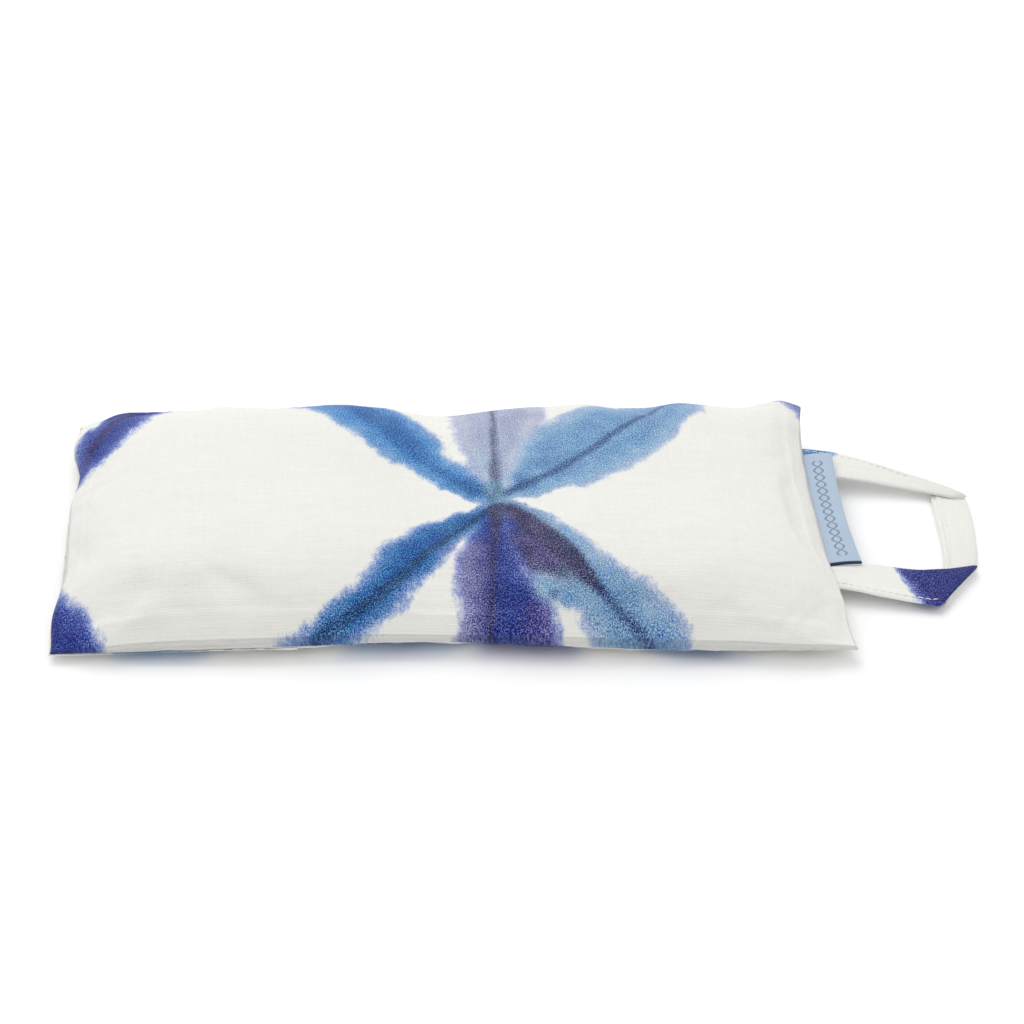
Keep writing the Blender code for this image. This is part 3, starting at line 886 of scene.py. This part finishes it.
# Each run's inner and outer edge. The two long runs lie over the far run, and fold under it along a slant.
BACK_INNER = in_loop(
    (-0.13, 0.70, 4.6), (0.03, 0.69, 5.0), (0.18, 0.686, 5.0), (0.45, 0.64, 3.9), (0.65, 0.592, 2.9),
    (0.80, 0.545, 2.3), (0.91, 0.505, 2.0), (1.008, 0.520, 1.7),
)
BACK_OUTER = in_loop(
    (-0.13, 1.135, 5.2), (-0.03, 1.127, 5.7), (0.13, 1.076, 5.7), (0.30, 1.02, 4.9), (0.47, 0.94, 4.0),
    (0.63, 0.835, 3.2), (0.79, 0.732, 2.5), (0.90, 0.655, 2.1), (1.018, 0.532, 1.7),
)
FRONT_INNER = in_loop(
    (-0.12, -0.63, 4.2), (0.04, -0.62, 4.5), (0.235, -0.575, 4.1), (0.35, -0.562, 3.7), (0.48, -0.580, 3.0),
    (0.61, -0.590, 2.6), (0.77, -0.572, 2.3), (0.98, -0.510, 1.9),
)
FRONT_OUTER = in_loop(
    (-0.12, -0.90, 4.2), (0.05, -0.915, 4.4), (0.19, -0.961, 4.1), (0.31, -1.0, 3.5), (0.47, -1.042, 2.9),
    (0.58, -1.068, 2.5), (0.685, -1.098, 2.2), (0.975, -0.530, 1.9),
)
FAR_INNER = in_loop(
    (0.80, 0.72, 1.0), (0.779, 0.58, 0.8), (0.783, 0.25, 0.75), (0.788, -0.04, 0.75), (0.784, -0.29, 0.75),
    (0.769, -0.52, 0.85), (0.72, -1.02, 0.85),
)
FAR_OUTER = in_loop(
    (1.000, 0.55, 0.9), (1.016, 0.50, 0.75), (1.020, 0.25, 0.75), (1.016, 0.0, 0.75), (1.002, -0.27, 0.75),
    (0.985, -0.43, 0.85), (0.955, -0.57, 0.85),
)


def strap(name, inner, outer, lap=0.0, step=0.0):
    """A flat tape between two edge lines, folded lengthwise and sewn down. lap is where the fold's own edge
    lies, from -1 at the tape's inner edge to 1 at its outer edge, and step is how much lower the tape is on
    the inner side of it."""
    along = 44
    t = np.linspace(0, 1, along)
    a, b = between(inner, t), between(outer, t)
    c = np.sort(np.concatenate([spread(17, 1.0, 0.35), [lap - 0.035, lap + 0.035]]))
    across = len(c)
    full = np.clip(1 - np.abs(c) ** 9, 0.0, 1)
    half = STRAP / 2 * full**0.5
    lowered = step * (1 - smooth((c - lap + 0.03) / 0.06)) * full
    bulge = 0.00010 * hump(c, lap + 0.16, 0.14) - 0.00010 * hump(c, lap + 0.30, 0.07)
    upper = (a[:, None] + b[:, None]) / 2 + (b - a)[:, None] / 2 * c[None, :, None]
    lower = upper.copy()
    closing = smooth(t / 0.02 + 0.15) * smooth((1 - t) / 0.035 + 0.30)
    upper[..., 2] += (half - lowered + bulge)[None, :] * closing[:, None]
    lower[..., 2] -= half[None, :] * closing[:, None]
    run = np.concatenate([[0], np.cumsum(np.linalg.norm(np.diff((a + b) / 2, axis=0), axis=1))])
    far, aside = np.meshgrid(run, c, indexing="ij")
    wave = 0.00016 * noise(far, 0.006 * aside, 0.007, 51)
    upper[..., 2] += wave * closing[:, None]
    lower[..., 2] += wave * closing[:, None]
    n = along * across
    ids = np.arange(n).reshape(along, across)
    faces = []
    for i in range(along - 1):
        for j in range(across - 1):
            faces.append((ids[i, j], ids[i + 1, j], ids[i + 1, j + 1], ids[i, j + 1]))
            faces.append((ids[i, j] + n, ids[i, j + 1] + n, ids[i + 1, j + 1] + n, ids[i + 1, j] + n))
    faces.extend(rim(ids, n))
    verts = np.concatenate([upper.reshape(-1, 3), lower.reshape(-1, 3)])
    flat = np.stack([far, STRAP_WIDTH / 2 * aside, np.ones_like(far)], -1)
    made = mesh_object(name, verts, faces, np.concatenate([flat.reshape(-1, 3)] * 2))
    face_out(made)
    return made


LOOP_DYE_FRONT = [arm([(44, -14, 16.5), (46, 14, 16.5)], (24, 32, 128))]
LOOP_DYE_BACK = [arm([(2, 9, 7.2), (8, 8, 7.0)], (70, 138, 205))]
LOOP_DYE_FAR = [arm([(37.5, -8.4, 3.4), (52, -8.4, 3.4)], (30, 44, 146))]


def join(name, pieces):
    """Several meshes as one object, keeping their attributes."""
    first = pieces[0]
    with bpy.context.temp_override(active_object=first, selected_editable_objects=pieces, object=first):
        bpy.ops.object.join()
    first.name = first.data.name = name
    return first


def make_loop(cotton, sewing):
    """The strap's three runs, in one piece, and the stitching that holds its fold down."""
    back = strap("loop_back", BACK_INNER, BACK_OUTER)
    front = strap("loop_front", FRONT_INNER, FRONT_OUTER)
    far = strap("loop_far", FAR_INNER, FAR_OUTER, lap=-0.74, step=0.00055)
    for piece, arms in ((back, LOOP_DYE_BACK), (front, LOOP_DYE_FRONT), (far, LOOP_DYE_FAR)):
        subdivided(piece)
        dye_onto(piece, cut_places(piece.data), arms, [], [])
    loop = join("hanging_loop_strap", [back, front, far])
    finish_piece(loop, cotton, "dyed_cotton", "hanging_loop", "loop_sewn_end_back", "loop_sewn_end_front")
    bend_at_seam(loop)

    def line(inner, outer, inset, low, high, up):
        """A line inset from a run's outer edge, or from its inner edge where inset is negative."""
        t = np.linspace(low, high, 24)
        a, b = between(inner, t), between(outer, t)
        wide = np.linalg.norm(b - a, axis=1, keepdims=True)
        start = b if inset > 0 else a
        return start - (b - a) / wide * inset + np.array([0, 0, up])

    runs = [
        line(BACK_INNER, BACK_OUTER, 0.0019, 0.04, 0.66, STRAP / 2),
        line(FRONT_INNER, FRONT_OUTER, 0.0021, 0.08, 0.64, STRAP / 2),
        line(FAR_INNER, FAR_OUTER, -0.0025, 0.17, 0.70, STRAP / 2 + 0.00006),
    ]
    sewn = stitches("loop_topstitching", runs, (0, 0, 1), stitch=0.0022, share=0.82, radius=0.00015)
    finish_piece(sewn, sewing, "sewing_thread", "loop_thread_back", "loop_thread_far", "loop_thread_front")
    bend_at_seam(sewn)


# ---------------------------------------------------------------- the label

LABEL_HALF = 0.0250  # half its length along the seam
LABEL_OUT = 0.0090  # how far it stands out of the seam
LABEL_IN = 0.0048  # how far its ends go into it
LABEL_PLY = 0.00028  # from its middle to either ply
LABEL_FOLD = 0.0006  # half the cloth that the fold takes


def make_label(material):
    """A woven label, folded along its outer edge, with its ends in the seam, over the strap's back run."""
    across = np.linspace(-LABEL_HALF, LABEL_HALF, 48)
    reach = LABEL_IN + LABEL_OUT
    flat = np.linspace(LABEL_FOLD, reach, 18)
    flat = np.concatenate([-flat[::-1], np.linspace(-0.7, 0.7, 5) * LABEL_FOLD, flat])
    low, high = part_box("woven_label")
    verts, places = [], []
    for y in across:
        s = (y + LABEL_HALF) / (2 * LABEL_HALF)
        along = low.y + 0.0012 + (high.y + 0.0026 - low.y) * s
        edge = outline(np.array(L), np.array(along))[0] - 0.0004
        root = np.array([edge, along, seam_z(1.0, along / W) - 0.00045])
        outward = np.array([1.0, 0.06 - 0.20 * s, 0.05 + 0.14 * s * s])
        outward /= np.linalg.norm(outward)
        over = np.array([0, 0, 1.0]) - outward * outward[2]
        width = LABEL_OUT - 0.0004 * math.sin(math.pi * s) + 0.0006 * (1 - s) ** 4
        for x in flat:
            if abs(x) < LABEL_FOLD:
                turn = x / LABEL_FOLD * math.pi / 2
                out, rise = width - LABEL_PLY * (1 - math.cos(turn)), LABEL_PLY * math.sin(turn)
            else:
                out, rise = width - abs(x), math.copysign(LABEL_PLY, x)
            bow = 0.00030 * math.sin(math.pi * min(max(out / width, 0), 1))
            verts.append(root + outward * out + over * (rise + bow))
            places.append((x, y, 1.0))
    nu, nv = len(across), len(flat)
    ids = np.arange(nu * nv).reshape(nu, nv)
    faces = np.stack([ids[:-1, :-1], ids[:-1, 1:], ids[1:, 1:], ids[1:, :-1]], -1).reshape(-1, 4)
    label = mesh_object("side_label", verts, faces, places)
    skin = label.modifiers.new("skin", "SOLIDIFY")
    skin.thickness, skin.offset = 0.00026, 0.0
    apply_modifiers(label)
    face_out(label)
    finish_piece(label, material, "label_damask", "woven_label", "label_sewn_end")
    bend_at_seam(label)


# ---------------------------------------------------------------- hidden threads


def seam_path(inset, rise, along=1.0, across=1.0, centre=None):
    """A closed line round the bag, inset from its seam and above it, or above centre if that is given."""
    side, end = np.linspace(-1, 1, 60), np.linspace(-1, 1, 30)
    long, wide = np.ones(side.size), np.ones(end.size)
    u = np.concatenate([side, wide, -side, -wide]) * (L - inset)
    v = np.concatenate([-long, end, long, -end]) * (W - inset)
    x, y = outline(u, v)
    z = seam_z(u / L, v / W) + rise
    if centre is not None:
        z = np.full_like(z, centre + rise)
    return np.stack([x * along, y * across, z], -1)


def make_threads(sewing):
    up = (0, 0, 1)
    cover = stitches("cover_seam_stitches", [seam_path(0.0034, 0.0010)], up, stitch=0.0030)
    finish_piece(cover, sewing, "sewing_thread", "cover_seam_thread_left", "cover_seam_thread_right")
    bend_at_waist(cover)
    path = seam_path(0.0040, 0.0008, *POUCH[:2], INNER_SEAM)
    pouch = stitches("pouch_seam_stitches", [path], up, stitch=0.0030)
    finish_piece(pouch, sewing, "sewing_thread", "pouch_seam_thread_left", "pouch_seam_thread_right")
    bend_at_waist(pouch)
    half = W - 0.006
    ys = np.linspace(-half, half, 60)

    def run(x, z):
        a, b = outline(np.full_like(ys, x), ys)
        return np.stack([a, b, np.full_like(ys, z)], -1)

    path = run(FLAP_EDGE - 0.0060, 0.00012)
    hem = stitches("flap_hem_stitches", [path], (0, 0, -1), stitch=0.0026)
    finish_piece(hem, sewing, "sewing_thread", "flap_hem_thread")
    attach(hem, LEFT)
    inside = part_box("slit_hem_thread")[0].x
    slit = stitches("slit_hem_stitches", [run(inside, 0.0019)], up, stitch=0.0026, radius=0.00014)
    finish_piece(slit, sewing, "sewing_thread", "slit_hem_thread")
    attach(slit, LEFT)


# ---------------------------------------------------------------- studio


def make_studio():
    scene = bpy.context.scene
    corners = [(-3, -3, FLOOR), (3, -3, FLOOR), (3, 3, FLOOR), (-3, 3, FLOOR)]
    floor = mesh_object("floor", corners, [(0, 1, 2, 3)])
    paper = Nodes("studio paper")
    grain = paper.noise(paper.add("ShaderNodeTexCoord").outputs["Object"], 900.0, 3.0)
    tone = paper.mix(grain, (0.955, 0.955, 0.955, 1.0), (0.975, 0.975, 0.975, 1.0))
    paper.shade(Base_Color=tone, Roughness=0.9, Specular_IOR_Level=0.1)
    floor.data.materials.append(paper.material)

    world = bpy.data.worlds.new("studio")
    scene.world = world
    world.use_nodes = True
    sky = world.node_tree.nodes["Background"]
    sky.inputs["Color"].default_value = (1.0, 1.0, 1.0, 1.0)
    sky.inputs["Strength"].default_value = 0.72
    for name, where, size, power in (
        ("key", (-0.35, 0.75, 1.15), 1.1, 9.5),
        ("fill", (0.9, -0.5, 1.3), 1.2, 3.2),
    ):
        lamp = bpy.data.lights.new(name, "AREA")
        lamp.shape, lamp.size, lamp.energy = "SQUARE", size, power
        holder = bpy.data.objects.new(name, lamp)
        holder.location = where
        holder.rotation_euler = (Vector((0.02, 0, 0)) - Vector(where)).to_track_quat("-Z", "Y").to_euler()
        scene.collection.objects.link(holder)

    camera = bpy.data.cameras.new("camera")
    camera.lens, camera.sensor_width = 88.45, 36.0
    camera.clip_start, camera.clip_end = 0.05, 20.0
    eye = bpy.data.objects.new("camera", camera)
    tilt, reach = math.radians(37.78), 0.765
    aim = Vector((0.0200, 0.0048, 0.008))
    eye.location = aim + reach * Vector((0, -math.cos(tilt), math.sin(tilt)))
    eye.rotation_euler = (aim - eye.location).to_track_quat("-Z", "Y").to_euler()
    scene.collection.objects.link(eye)
    scene.camera = eye
    scene.view_settings.view_transform = "Standard"


def main():
    make_studio()
    cotton = cotton_material("dyed cotton", (0.836, 0.831, 0.792))
    muslin = cotton_material("pouch muslin", (0.74, 0.70, 0.60), dyed=False)
    sewing = thread_material("sewing thread", (0.92, 0.92, 0.91))
    bag, settled, ids_back, us, vs = make_bag()
    dye_bag(bag)
    panels = ("cover_top_left", "cover_top_right", "cover_back_left", "cover_back_right")
    finish_piece(bag, cotton, "dyed_cotton", *panels)
    make_flap(settled, ids_back, us, vs, cotton)
    bend_at_waist(bag)
    pouch = scaled_bag("inner_pouch", settled, us, vs, *POUCH)
    panels = ("pouch_top_left", "pouch_top_right", "pouch_bottom_left", "pouch_bottom_right")
    finish_piece(pouch, muslin, "muslin", *panels)
    bend_at_waist(pouch)
    seed = scaled_bag("flax_seed_fill", settled, us, vs, *SEED)
    finish_piece(seed, seed_material(), "flax_seed", "seed_fill_left", "seed_fill_right")
    bend_at_waist(seed)
    make_loop(cotton, sewing)
    make_label(label_material())
    make_threads(sewing)


main()
